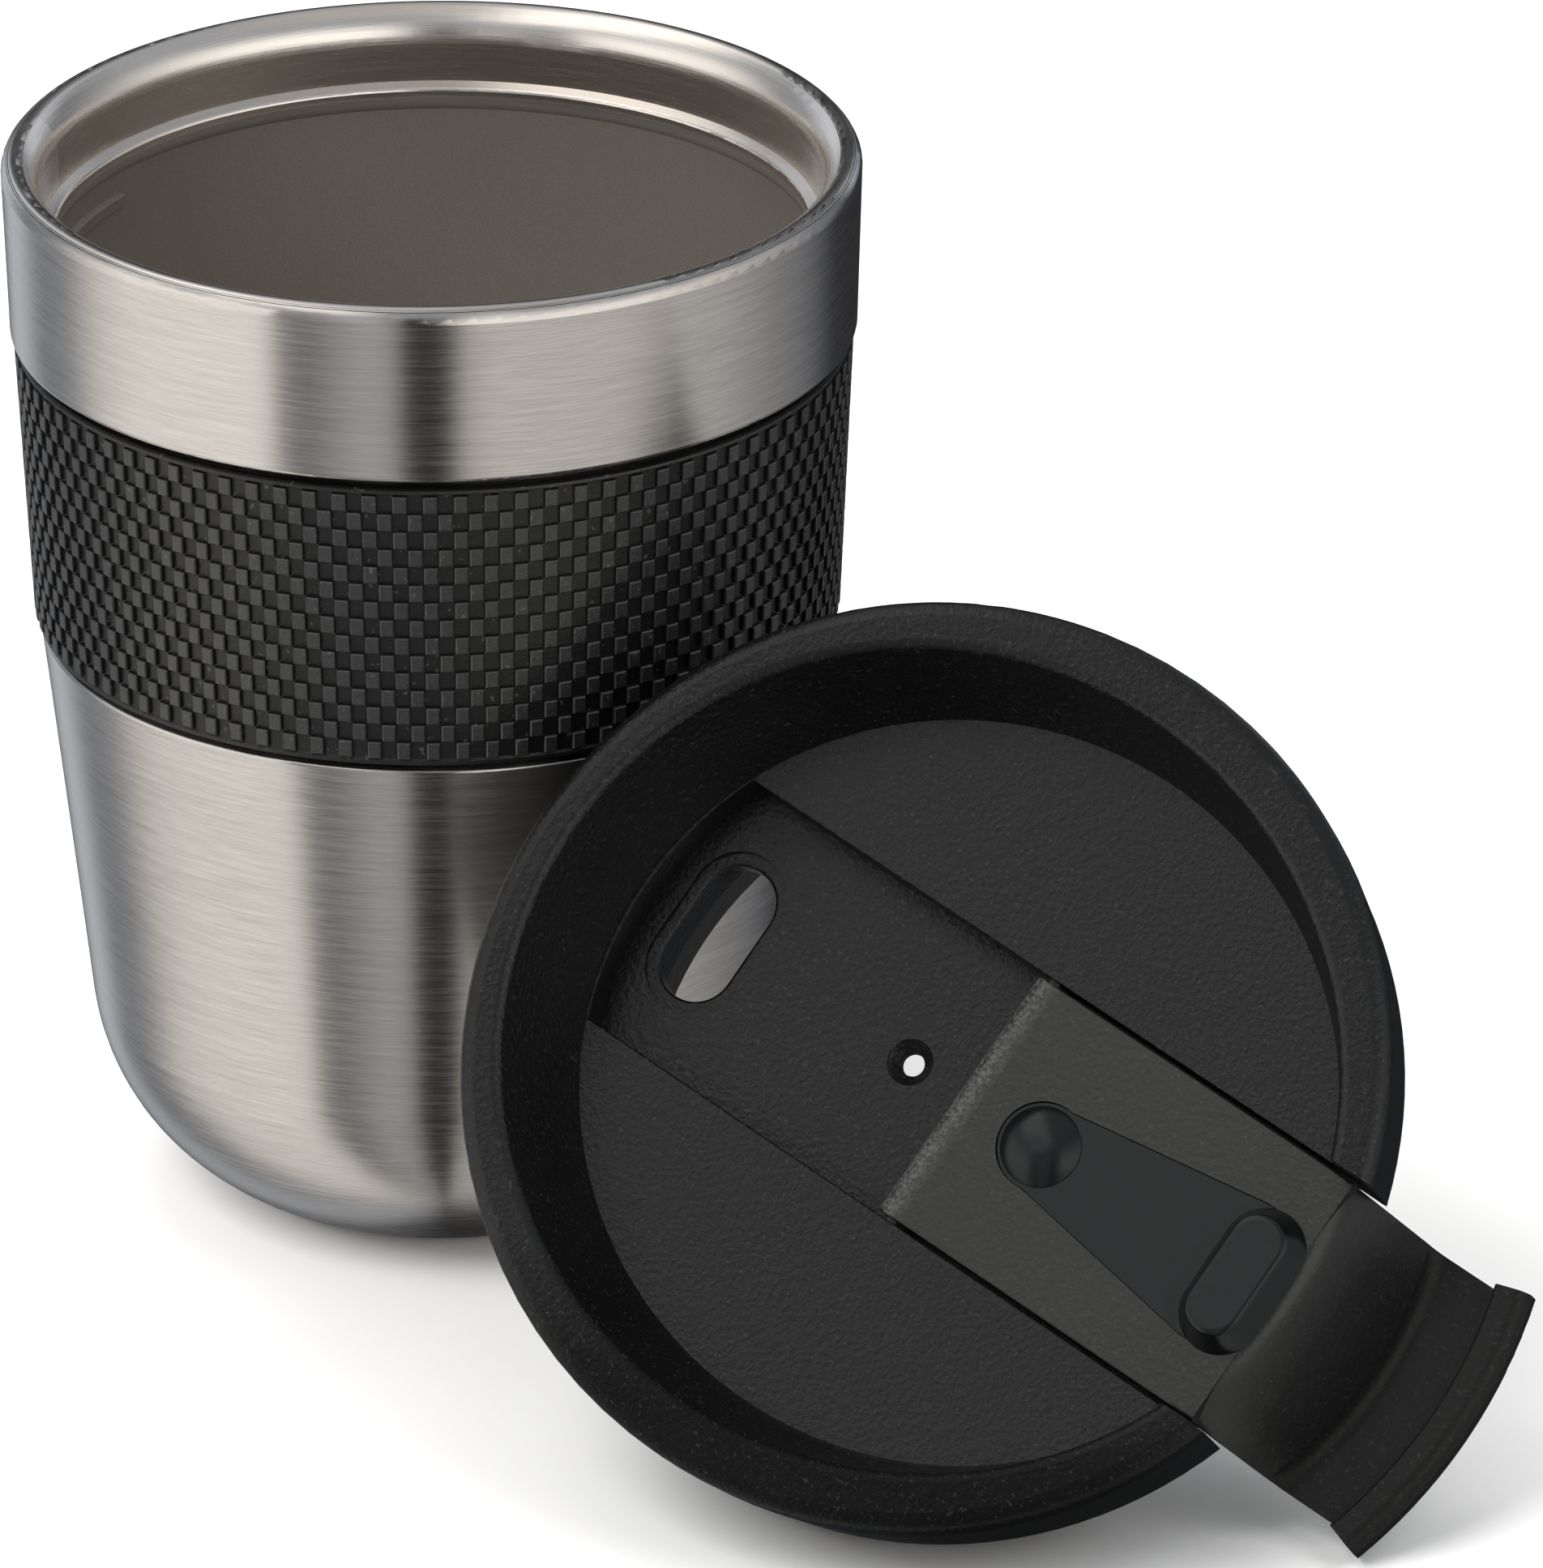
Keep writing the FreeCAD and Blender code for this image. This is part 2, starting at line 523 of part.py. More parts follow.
def slot_outline(sketch, left, right, end_alias):
    """Parallel-sided outline about X whose left end is an arc about the lid's axis."""
    half = SIZES["channel_half"]
    vector = FreeCAD.Vector
    angle = math.atan2(half, abs(left))
    circle = Part.Circle(vector(0, 0, 0), vector(0, 0, 1), SIZES[end_alias])
    if left < 0:
        end = sketch.addGeometry(Part.ArcOfCircle(circle, math.pi - angle, math.pi + angle), False)
        upper, lower = 1, 2
    else:
        end = sketch.addGeometry(Part.ArcOfCircle(circle, -angle, angle), False)
        upper, lower = 2, 1
    top = sketch.addGeometry(Part.LineSegment(vector(left, half, 0), vector(right, half, 0)), False)
    side = sketch.addGeometry(Part.LineSegment(vector(right, half, 0),
                                               vector(right, -half, 0)), False)
    low = sketch.addGeometry(Part.LineSegment(vector(right, -half, 0),
                                              vector(left, -half, 0)), False)
    sketch.addConstraint(Sketcher.Constraint("Coincident", end, 3, -1, 1))
    index = sketch.addConstraint(Sketcher.Constraint("Radius", end, SIZES[end_alias]))
    bind(sketch, index, end_alias)
    for one, first, two, second in ((end, upper, top, 1), (top, 2, side, 1),
                                    (side, 2, low, 1), (low, 2, end, lower)):
        sketch.addConstraint(Sketcher.Constraint("Coincident", one, first, two, second))
    sketch.addConstraint(Sketcher.Constraint("Horizontal", top))
    sketch.addConstraint(Sketcher.Constraint("Horizontal", low))
    sketch.addConstraint(Sketcher.Constraint("DistanceX", -1, 1, side, 1, right))
    sketch.addConstraint(Sketcher.Constraint("DistanceX", -1, 1, side, 2, right))
    index = sketch.addConstraint(Sketcher.Constraint("DistanceY", -1, 1, side, 1, half))
    bind(sketch, index, "channel_half")
    index = sketch.addConstraint(Sketcher.Constraint("DistanceY", side, 2, -1, 1, half))
    bind(sketch, index, "channel_half")


def cut_holes(body):
    # hollow the undersides of the two platforms
    for number, side in enumerate((1, -1)):
        hollow = new_sketch(body, "hollow_%d" % number, "XY_Plane", ("-lid_floor",))
        reach = math.sqrt(SIZES["hollow_r"] ** 2 - SIZES["rib_half"] ** 2)
        angle = math.asin(SIZES["rib_half"] / SIZES["hollow_r"])
        circle = Part.Circle(FreeCAD.Vector(0, 0, 0), FreeCAD.Vector(0, 0, 1), SIZES["hollow_r"])
        first = angle if side > 0 else math.pi + angle
        arc = hollow.addGeometry(Part.ArcOfCircle(circle, first, first + math.pi - 2 * angle), False)
        chord = hollow.addGeometry(Part.LineSegment(
            FreeCAD.Vector(-side * reach, side * SIZES["rib_half"], 0),
            FreeCAD.Vector(side * reach, side * SIZES["rib_half"], 0)), False)
        hollow.addConstraint(Sketcher.Constraint("Coincident", arc, 2, chord, 1))
        hollow.addConstraint(Sketcher.Constraint("Coincident", chord, 2, arc, 1))
        hollow.addConstraint(Sketcher.Constraint("Coincident", arc, 3, -1, 1))
        hollow.addConstraint(Sketcher.Constraint("Horizontal", chord))
        index = hollow.addConstraint(Sketcher.Constraint("Radius", arc, SIZES["hollow_r"]))
        bind(hollow, index, "hollow_r")
        value = side * SIZES["rib_half"]
        index = hollow.addConstraint(Sketcher.Constraint("DistanceY", -1, 1, chord, 1, value))
        hollow.setExpression("Constraints[%d]" % index, "%d * Sizes.rib_half" % side)
        extrude(body, hollow, "Pocket", ("lid_floor", "-skin"), reverse=True)
    collar = stadium(new_sketch(body, "collar", "XY_Plane", ("-collar_low",)), -1, "drink_x",
                     "collar_half_w", "collar_half_l")
    extrude(body, collar, "Pad", ("collar_low", -5.6))
    dish = stadium(new_sketch(body, "dish", "XY_Plane", ("-channel_deep",)), -1, "drink_x",
                   "dish_half_w", "dish_half_l")
    extrude(body, dish, "Pocket", "dish_deep")
    hole = stadium(new_sketch(body, "drink_hole", "XY_Plane", ("-channel_deep",)), -1, "drink_x",
                   "drink_half_w", "drink_half_l")
    extrude(body, hole, "Pocket", 20.0)
    floor_z = -SIZES["channel_deep"] - SIZES["dish_deep"]
    round_edges(body, body.Tip, 0.45,
                lambda edge: edge_at(edge, floor_z, SIZES["drink_half_w"], SIZES["drink_half_l"]))
    vent = circle_at(new_sketch(body, "vent_hole", "XY_Plane", ("-channel_deep",)), -1, "vent_x",
                     "vent_r")
    extrude(body, vent, "Pocket", 20.0)
    round_edges(body, body.Tip, "vent_flare",
                lambda edge: isinstance(edge.Curve, Part.Circle)
                and abs(edge.Curve.Radius - SIZES["vent_r"]) < 0.01
                and abs(edge.Curve.Center.z + SIZES["channel_deep"]) < 0.01, "Chamfer")
    bore = new_sketch(body, "pin_seat", "XZ_Plane")
    hinge_circle(bore, "pin_seat_r")
    extrude(body, bore, "Pocket", ("pin_half", "pin_half", 0.4), centred=True)


def edge_at(edge, height, half_wide, half_long):
    """True for an edge of the slot opening of this size at this height."""
    box = edge.BoundBox
    middle = box.Center
    return (abs(box.ZMin - height) < 0.02 and abs(box.ZMax - height) < 0.02
            and abs(middle.x + SIZES["drink_x"]) < half_wide + 0.05
            and box.XMin > -SIZES["drink_x"] - half_wide - 0.05
            and box.XMax < -SIZES["drink_x"] + half_wide + 0.05
            and abs(box.YMin) < half_long + 0.05 and abs(box.YMax) < half_long + 0.05)


def hinge_circle(sketch, alias):
    ring = sketch.addGeometry(Part.Circle(
        FreeCAD.Vector(SIZES["hinge_x"], -SIZES["hinge_z"], 0),
        FreeCAD.Vector(0, 0, 1), SIZES[alias]), False)
    index = sketch.addConstraint(Sketcher.Constraint("Radius", ring, SIZES[alias]))
    bind(sketch, index, alias)
    pin_point(sketch, ring, 3, ("hinge_x", ("-hinge_z",)))


def make_lid_plug():
    body = revolved("lid_plug", [
        ("plug_shelf_r", ("-lid_floor", -0.05)),
        (("plug_r",), ("-lid_floor", -0.05)),
        (("plug_r",), ("-gasket_top",)),
        (("gasket_groove_r",), ("-gasket_top",)),
        (("gasket_groove_r",), ("-gasket_low",)),
        (("plug_low_r",), ("-gasket_low",)),
        (("plug_low_r",), ("-plug_low", 0.5)),
        (("plug_low_r", -0.5), ("-plug_low",)),
        (("plug_in_r", -0.2), ("-plug_low",)),
        (("plug_in_r", -0.6), ("-gasket_low",)),
        (("plug_in_r",), ("-gasket_top",)),
        (("plug_in_r",), ("-lid_floor", "-plug_shelf_thick", -0.05)),
        (("plug_shelf_r",), ("-lid_floor", "-plug_shelf_thick", -0.05)),
    ])
    groove = outline(new_sketch(body, "oring_groove", "XZ_Plane"), [
        (("oring_r", -0.65), ("-lid_floor", 0.2)),
        (("oring_r", 0.65), ("-lid_floor", 0.2)),
        (("oring_r", 0.65), ("-lid_floor", -1.3)),
        (("oring_r", -0.65), ("-lid_floor", -1.3)),
    ])
    turn(body, groove, "Groove")
    relief = stadium(new_sketch(body, "collar_relief", "XY_Plane", ("-lid_floor",)), -1, "drink_x",
                     ("collar_half_w", 0.25), ("collar_half_l", 0.25))
    extrude(body, relief, "Pocket", 5.0)


def make_lid_rings():
    revolved("lid_gasket", [
        (("gasket_groove_r", "fit_gap"), ("-gasket_top", -0.1)),
        (("plug_r", -0.2), ("-gasket_top", -0.1)),
        (("gasket_r",), ("-gasket_top", -0.9)),
        (("gasket_r",), ("-gasket_top", -1.15)),
        (("plug_r", -0.4), ("-gasket_top", -0.9)),
        (("plug_r", -0.4), ("-gasket_low", 0.6)),
        (("plug_r", -0.7), ("-gasket_low", 0.1)),
        (("gasket_groove_r", "fit_gap"), ("-gasket_low", 0.1)),
    ])
    ring = doc.addObject("Part::Torus", "plug_oring")
    ring.setExpression("Radius1", "Sizes.oring_r")
    ring.setExpression("Radius2", "Sizes.oring_thick")
    ring.setExpression("Placement.Base.z", "-Sizes.lid_floor - Sizes.oring_thick - 0.08")
    ring.Label = "plug_oring"
    parts.append(ring)
    body = new_body("hinge_pin")
    sketch = new_sketch(body, "pin_round", "XZ_Plane")
    hinge_circle(sketch, "pin_r")
    extrude(body, sketch, "Pad", ("pin_half", "pin_half"), centred=True)
    round_edges(body, body.Tip, 0.2, lambda edge: isinstance(edge.Curve, Part.Circle), "Chamfer")


# ---------------------------------------------------------------- flap
def make_flap():
    body = new_body("flap")
    slab = outline(new_sketch(body, "slab_side", "XZ_Plane"), [
        ("hinge_x", ("-flap_top", "-flap_thick"), "-knuckle_r"),
        (("hinge_x", "-knuckle_r"), ("-hinge_z",), "-knuckle_r"),
        ("hinge_x", ("-flap_top",)),
        ("flat_end", ("-flap_top",)),
        ("flat_end", ("-flap_top", "-flap_thick")),
    ])
    extrude(body, slab, "Pad", ("flap_half", "flap_half"), centred=True)
    riser = outline(new_sketch(body, "riser_side", "XZ_Plane"), [
        (("flat_end", -2.0), ("-flap_top",)),
        ("flat_end", ("-flap_top",), "-bend_round"),
        ("bend_x", ("-bend_z",)),
        ("riser_x", ("-riser_z",), "riser_round"),
        ("band_x", ("-band_z",)),
        (("step_x", 0.4), ("-band_z",)),
        (("step_x", 0.4), ("-band_back_z",)),
        ("back_band_x", ("-band_back_z",)),
        ("back_low_x", ("-back_low_z",)),
        ("back_top_x", ("-flap_top", "-flap_thick")),
        (("flat_end", -2.0), ("-flap_top", "-flap_thick")),
    ])
    axis = riser.addGeometry(Part.LineSegment(FreeCAD.Vector(SIZES["mirror_x"], -30, 0),
                                              FreeCAD.Vector(SIZES["mirror_x"], 30, 0)), True)
    pin_point(riser, axis, 1, ("mirror_x", (-30.0,)))
    pin_point(riser, axis, 2, ("mirror_x", (30.0,)))
    turn(body, riser, "Revolution", 64.0, True, "Axis0")
    trim = new_sketch(body, "side_trim", "XY_Plane", (5.0,))
    for side in (1, -1):
        box_outline(trim, side)
    extrude(body, trim, "Pocket", 40.0)
    lip = outline(new_sketch(body, "lip_side", "XZ_Plane"), [
        ("step_x", ("-lip_low_z",)),
        ("step_x", ("-lip_top_z", -0.3)),
        (("step_x", 0.3), ("-lip_top_z",)),
        (("lip_end_x", "-tab_round"), ("-lip_top_z",), "-tab_round"),
        ("lip_end_x", ("-lip_top_z", "-tab_round")),
        ("lip_end_x", ("-lip_low_z", "tab_round"), "-tab_round"),
        (("lip_end_x", "-tab_round"), ("-lip_low_z",)),
    ])
    axis = lip.addGeometry(Part.LineSegment(FreeCAD.Vector(SIZES["mirror_x"], -30, 0),
                                            FreeCAD.Vector(SIZES["mirror_x"], 30, 0)), True)
    pin_point(lip, axis, 1, ("mirror_x", (-30.0,)))
    pin_point(lip, axis, 2, ("mirror_x", (30.0,)))
    turn(body, lip, "Revolution", "lip_span", True, "Axis0")
    bore = new_sketch(body, "pin_bore", "XZ_Plane")
    hinge_circle(bore, "pin_bore_r")
    extrude(body, bore, "Pocket", 60.0, centred=True)
    web = outline(new_sketch(body, "web_recess", "XY_Plane", ("-flap_top",)), web_places(0.0))
    extrude(body, web, "Pocket", "web_deep")
    round_edges(body, body.Tip, "edge_round",
                lambda edge: runs_along(edge, SIZES["flap_half"], -SIZES["flap_top"]))


def runs_along(edge, half, height):
    """True for a long edge along X at this distance from the middle and this height."""
    box = edge.BoundBox
    return (box.YLength < 0.01 and box.ZLength < 0.01 and box.XLength > 4.0
            and abs(abs(box.YMin) - half) < 0.01 and abs(box.ZMin - height) < 0.01)


def box_outline(sketch, side):
    """Rectangle beyond one edge of the flap, clear of its hinge end."""
    near, far = SIZES["flap_half"], SIZES["flap_half"] + 20
    corners = [(20.0, near), (70.0, near), (70.0, far), (20.0, far)]
    first = None
    for number in range(4):
        (x0, y0), (x1, y1) = corners[number], corners[(number + 1) % 4]
        edge = sketch.addGeometry(Part.LineSegment(FreeCAD.Vector(x0, side * y0, 0),
                                                   FreeCAD.Vector(x1, side * y1, 0)), False)
        first = edge if first is None else first
    for number in range(4):
        sketch.addConstraint(Sketcher.Constraint("Coincident", first + number, 2,
                                                 first + (number + 1) % 4, 1))
    for number in (0, 2):
        sketch.addConstraint(Sketcher.Constraint("Horizontal", first + number))
    for number in (1, 3):
        sketch.addConstraint(Sketcher.Constraint("Vertical", first + number))
    sketch.addConstraint(Sketcher.Constraint("DistanceX", -1, 1, first, 1, 20.0))
    sketch.addConstraint(Sketcher.Constraint("DistanceX", -1, 1, first, 2, 70.0))
    index = sketch.addConstraint(Sketcher.Constraint("DistanceY", -1, 1, first, 1, side * near))
    sketch.setExpression("Constraints[%d]" % index, "%d * Sizes.flap_half" % side)
    index = sketch.addConstraint(Sketcher.Constraint("DistanceY", -1, 1, first + 2, 1, side * far))
    sketch.setExpression("Constraints[%d]" % index, "%d * (Sizes.flap_half + 20)" % side)


def web_places(inset):
    """Teardrop from the vent button to the oblong stopper."""
    return [
        (("web_tan_x",), ("web_tan_y", -inset), "web_r"),
        (("web_x", "-web_r", inset), 0, "web_r"),
        (("web_tan_x",), ("-web_tan_y", inset)),
        (("web_wide_x",), ("-web_half", inset)),
        (("web_far_x",), ("-web_half", inset), "web_round"),
        (("web_end_x", -inset), ("-web_end_y",)),
        (("web_end_x", -inset), ("web_end_y",), "web_round"),
        (("web_far_x",), ("web_half", -inset)),
        (("web_wide_x",), ("web_half", -inset)),
    ]


def make_flap_seal():
    body = new_body("flap_seal")
    web = outline(new_sketch(body, "web", "XY_Plane", ("-flap_top", "-web_deep", 0.05)),
                  web_places(0.1))
    extrude(body, web, "Pad", ("flap_top", "web_deep", "-web_top", -0.05))
    dome = outline(new_sketch(body, "dome_side", "XZ_Plane"), [
        (("web_x", 0.6), ("dome_top",)),
        ("web_x", ("dome_top",)),
        ("web_x", ("-web_top", -0.3)),
        (("web_x", 3.95), ("-web_top", -0.3)),
        (("web_x", 3.95), ("-web_top", 0.12), "dome_r"),
    ])
    axis = dome.addGeometry(Part.LineSegment(FreeCAD.Vector(SIZES["web_x"], -30, 0),
                                             FreeCAD.Vector(SIZES["web_x"], 30, 0)), True)
    pin_point(dome, axis, 1, ("web_x", (-30.0,)))
    pin_point(dome, axis, 2, ("web_x", (30.0,)))
    turn(body, dome, "Revolution", None, False, "Axis0")
    stem = stadium(new_sketch(body, "stopper_stem", "XY_Plane", ("-web_top", -0.2)), 1, "plug_x",
                   "stem_half_w", "stem_half_l")
    extrude(body, stem, "Pad", ("web_top", 0.6))
    foot = stadium(new_sketch(body, "stopper_foot", "XY_Plane", ("-flap_top", "stub_gap")), 1,
                   "plug_x", "stub_half_w", "stub_half_l")
    stub = extrude(body, foot, "Pad", ("stub_top", "flap_top", "-stub_gap"))
    stub.setExpression("TaperAngle", "-Sizes.stub_taper")
    doc.recompute()
    round_edges(body, body.Tip, "stub_round",
                lambda edge: abs(edge.BoundBox.ZMin - SIZES["stub_top"]) < 0.01
                and abs(edge.BoundBox.ZMax - SIZES["stub_top"]) < 0.01)


# ---------------------------------------------------------------- build and write
def lid_placement():
    """The lid leans against the mug: turned, leaned back, and spun about its own axis."""
    turned = math.radians(SIZES["lid_turn"])
    lean = math.radians(SIZES["lid_lean"])
    spin = math.radians(SIZES["lid_spin"])
    up = FreeCAD.Vector(math.sin(turned) * math.cos(lean), -math.cos(turned) * math.cos(lean),
                        math.sin(lean))
    level = FreeCAD.Vector(math.cos(turned), math.sin(turned), 0)
    rise = up.cross(level)
    along = level * math.cos(spin) + rise * math.sin(spin)
    across = up.cross(along)
    matrix = FreeCAD.Matrix(along.x, across.x, up.x, SIZES["lid_x"],
                            along.y, across.y, up.y, SIZES["lid_y"],
                            along.z, across.z, up.z, SIZES["lid_z"], 0, 0, 0, 1)
    return FreeCAD.Placement(matrix)


make_outer_shell()
make_inner_vessel()
make_mug_details()
make_getter()
first_lid_part = len(parts)
make_lid_shell()
make_lid_plug()
make_lid_rings()
make_flap()
make_flap_seal()
doc.recompute()

stand = lid_placement()
for part in parts[first_lid_part:]:
    if part.Label == "plug_oring":
        part.setExpression("Placement.Base.z", None)
    part.Placement = stand.multiply(part.Placement)
doc.recompute()

faults = []
for item in doc.Objects:
    if "Invalid" in item.State or "Error" in item.State:
        faults.append(item.Name)
for part in parts:
    shape = part.Shape
    if shape.isNull() or not shape.isValid() or len(shape.Solids) != 1:
        faults.append("%s solids %d" % (part.Label, len(shape.Solids)))
if faults:
    raise RuntimeError("unsound: " + ", ".join(faults))

os.makedirs("parts", exist_ok=True)
for part in parts:
    part.Shape.exportStep(os.path.join("parts", part.Label + ".step"))
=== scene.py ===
"""Insulated steel travel mug with its press-in lid leaning on it: materials, sleeve, light and camera."""

import json
import math
import bmesh
import bpy
from mathutils import Matrix, Vector


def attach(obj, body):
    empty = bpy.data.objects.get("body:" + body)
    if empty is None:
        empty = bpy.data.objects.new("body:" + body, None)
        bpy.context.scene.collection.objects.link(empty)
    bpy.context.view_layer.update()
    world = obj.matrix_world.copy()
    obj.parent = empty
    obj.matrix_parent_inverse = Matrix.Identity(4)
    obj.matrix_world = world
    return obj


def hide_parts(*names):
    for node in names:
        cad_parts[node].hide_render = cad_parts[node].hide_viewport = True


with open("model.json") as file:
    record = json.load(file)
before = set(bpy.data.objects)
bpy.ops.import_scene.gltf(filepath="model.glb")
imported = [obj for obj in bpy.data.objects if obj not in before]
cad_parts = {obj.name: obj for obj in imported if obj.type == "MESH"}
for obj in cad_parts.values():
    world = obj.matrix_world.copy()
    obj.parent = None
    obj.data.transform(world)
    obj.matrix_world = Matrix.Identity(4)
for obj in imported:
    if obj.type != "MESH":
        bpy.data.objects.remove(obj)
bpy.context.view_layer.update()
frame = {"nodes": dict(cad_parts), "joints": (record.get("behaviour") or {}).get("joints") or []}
nodes = frame["nodes"]

MM = 0.001
joints = {joint["name"]: joint for joint in frame["joints"]}

# ---------------------------------------------------------------- where the lid is
# The flap's hinge lies here in the lid's own frame: X towards the hinge side, Z out of the lid.
HINGE_X = 3.5 * MM
HINGE_Z = -1.9 * MM
lid_up = Vector(joints["lid_lift"]["axis"]).normalized()
lid_across = -Vector(joints["flap_hinge"]["axis"]).normalized()
lid_along = lid_across.cross(lid_up).normalized()
lid_turn = Matrix((lid_along, lid_across, lid_up)).transposed()
lid_place = Vector(joints["flap_hinge"]["pos_m"]) - lid_turn @ Vector((HINGE_X, 0.0, HINGE_Z))


# ---------------------------------------------------------------- node helpers
class Tree:
    """A short way to build one procedural material."""

    def __init__(self, name):
        self.material = bpy.data.materials.new(name)
        self.material.use_nodes = True
        self.tree = self.material.node_tree
        self.tree.nodes.clear()
        self.out = self.tree.nodes.new("ShaderNodeOutputMaterial")
        self.shader = self.tree.nodes.new("ShaderNodeBsdfPrincipled")
        self.tree.links.new(self.shader.outputs[0], self.out.inputs["Surface"])

    def node(self, kind, **values):
        made = self.tree.nodes.new("ShaderNode" + kind)
        for key, value in values.items():
            setattr(made, key, value)
        return made

    def link(self, source, target):
        self.tree.links.new(source, target)

    def put(self, socket, value):
        """value is a number, a tuple or another node's output."""
        if isinstance(value, bpy.types.NodeSocket):
            self.link(value, socket)
        else:
            socket.default_value = value

    def coords(self, turn=None, place=None):
        """Object coordinates in metres, or in a frame turned and moved to a body."""
        source = self.node("TexCoord").outputs["Object"]
        if turn is not None:
            inverse = (Matrix.Translation(place) @ turn.to_4x4()).inverted()
            spot, spin, _ = inverse.decompose()
            mapping = self.node("Mapping", vector_type="POINT")
            mapping.inputs["Location"].default_value = spot
            mapping.inputs["Rotation"].default_value = spin.to_euler()
            self.link(source, mapping.inputs["Vector"])
            source = mapping.outputs[0]
        return source

    def vector(self, operation, first, second):
        made = self.node("VectorMath", operation=operation)
        self.put(made.inputs[0], first)
        self.put(made.inputs[1], second)
        return made.outputs[0]

    def math(self, operation, first, second=0.0, third=0.0):
        made = self.node("Math", operation=operation)
        self.put(made.inputs[0], first)
        self.put(made.inputs[1], second)
        self.put(made.inputs[2], third)
        return made.outputs[0]

    def split(self, vector):
        made = self.node("SeparateXYZ")
        self.link(vector, made.inputs[0])
        return made.outputs

    def join(self, first, second, third):
        made = self.node("CombineXYZ")
        for socket, value in zip(made.inputs, (first, second, third)):
            self.put(socket, value)
        return made.outputs[0]

    def noise(self, vector, scale, detail=2.0, rough=0.5):
        made = self.node("TexNoise", noise_dimensions="3D", noise_type="FBM")
        self.link(vector, made.inputs["Vector"])
        made.inputs["Scale"].default_value = scale
        made.inputs["Detail"].default_value = detail
        made.inputs["Roughness"].default_value = rough
        return made.outputs[0]

    def cells(self, vector, scale):
        made = self.node("TexVoronoi", feature="F1")
        self.link(vector, made.inputs["Vector"])
        made.inputs["Scale"].default_value = scale
        return made.outputs["Distance"]

    def from_axis(self, x, y):
        """Distance from the mug's axis."""
        squares = self.math("ADD", self.math("MULTIPLY", x, x), self.math("MULTIPLY", y, y))
        return self.math("SQRT", squares)

    def remap(self, value, low, high, to_low, to_high):
        made = self.node("MapRange")
        self.link(value, made.inputs[0])
        for index, number in enumerate((low, high, to_low, to_high)):
            made.inputs[index + 1].default_value = number
        return made.outputs[0]

    def mix(self, factor, first, second):
        made = self.node("Mix", data_type="RGBA")
        self.put(made.inputs[0], factor)
        self.put(made.inputs[6], first)
        self.put(made.inputs[7], second)
        return made.outputs[2]

    def bump(self, height, strength, distance):
        made = self.node("Bump")
        made.inputs["Strength"].default_value = strength
        made.inputs["Distance"].default_value = distance
        self.link(height, made.inputs["Height"])
        return made.outputs[0]

    def surface(self, **values):
        for key, value in values.items():
            self.put(self.shader.inputs[key.replace("_", " ")], value)
        return self.material


def grey(value, warm=0.0):
    """A grey, a little warmer or, with a negative value, cooler."""
    return (value * (1.0 + warm), value, value * (1.0 - warm), 1.0)


# ---------------------------------------------------------------- steel
# Hairlines are noise read on a small circle, so that they are long round the turn and fine along it.
CIRCLE = 0.04


def on_circle(made, x, y):
    """Where the direction from the axis falls on the small circle."""
    angle = made.math("ARCTAN2", y, x)
    return (made.math("MULTIPLY", made.math("COSINE", angle), CIRCLE),
            made.math("MULTIPLY", made.math("SINE", angle), CIRCLE))


def brushed_round(name, low, high, rough_low, rough_high):
    """Steel brushed round the Z axis: hairlines run along the turn."""
    made = Tree(name)
    place = made.coords()
    x, y, z = made.split(place)
    turned_x, turned_y = on_circle(made, x, y)
    along = made.math("ADD", z, made.math("MULTIPLY", made.from_axis(x, y), 0.7))
    fine = made.join(turned_x, turned_y, made.math("MULTIPLY", along, 36.0))
    coarse = made.join(turned_x, turned_y, made.math("MULTIPLY", along, 26.0))
    hair = made.noise(fine, 190.0, 3.0, 0.75)
    band = made.noise(coarse, 80.0, 2.0, 0.5)
    both = made.math("ADD", made.math("MULTIPLY", hair, 0.7), made.math("MULTIPLY", band, 0.3))
    colour = made.mix(made.remap(both, 0.38, 0.62, 0.0, 1.0), grey(low, 0.04), grey(high, 0.04))
    rough = made.remap(both, 0.38, 0.62, rough_low, rough_high)
    height = made.bump(both, 0.55, 0.000012)
    tangent = made.node("Tangent", direction_type="RADIAL", axis="Z")
    return made.surface(Base_Color=colour, Metallic=1.0, Roughness=rough, Normal=height,
                        Anisotropic=0.8, Anisotropic_Rotation=0.25, Tangent=tangent.outputs[0])


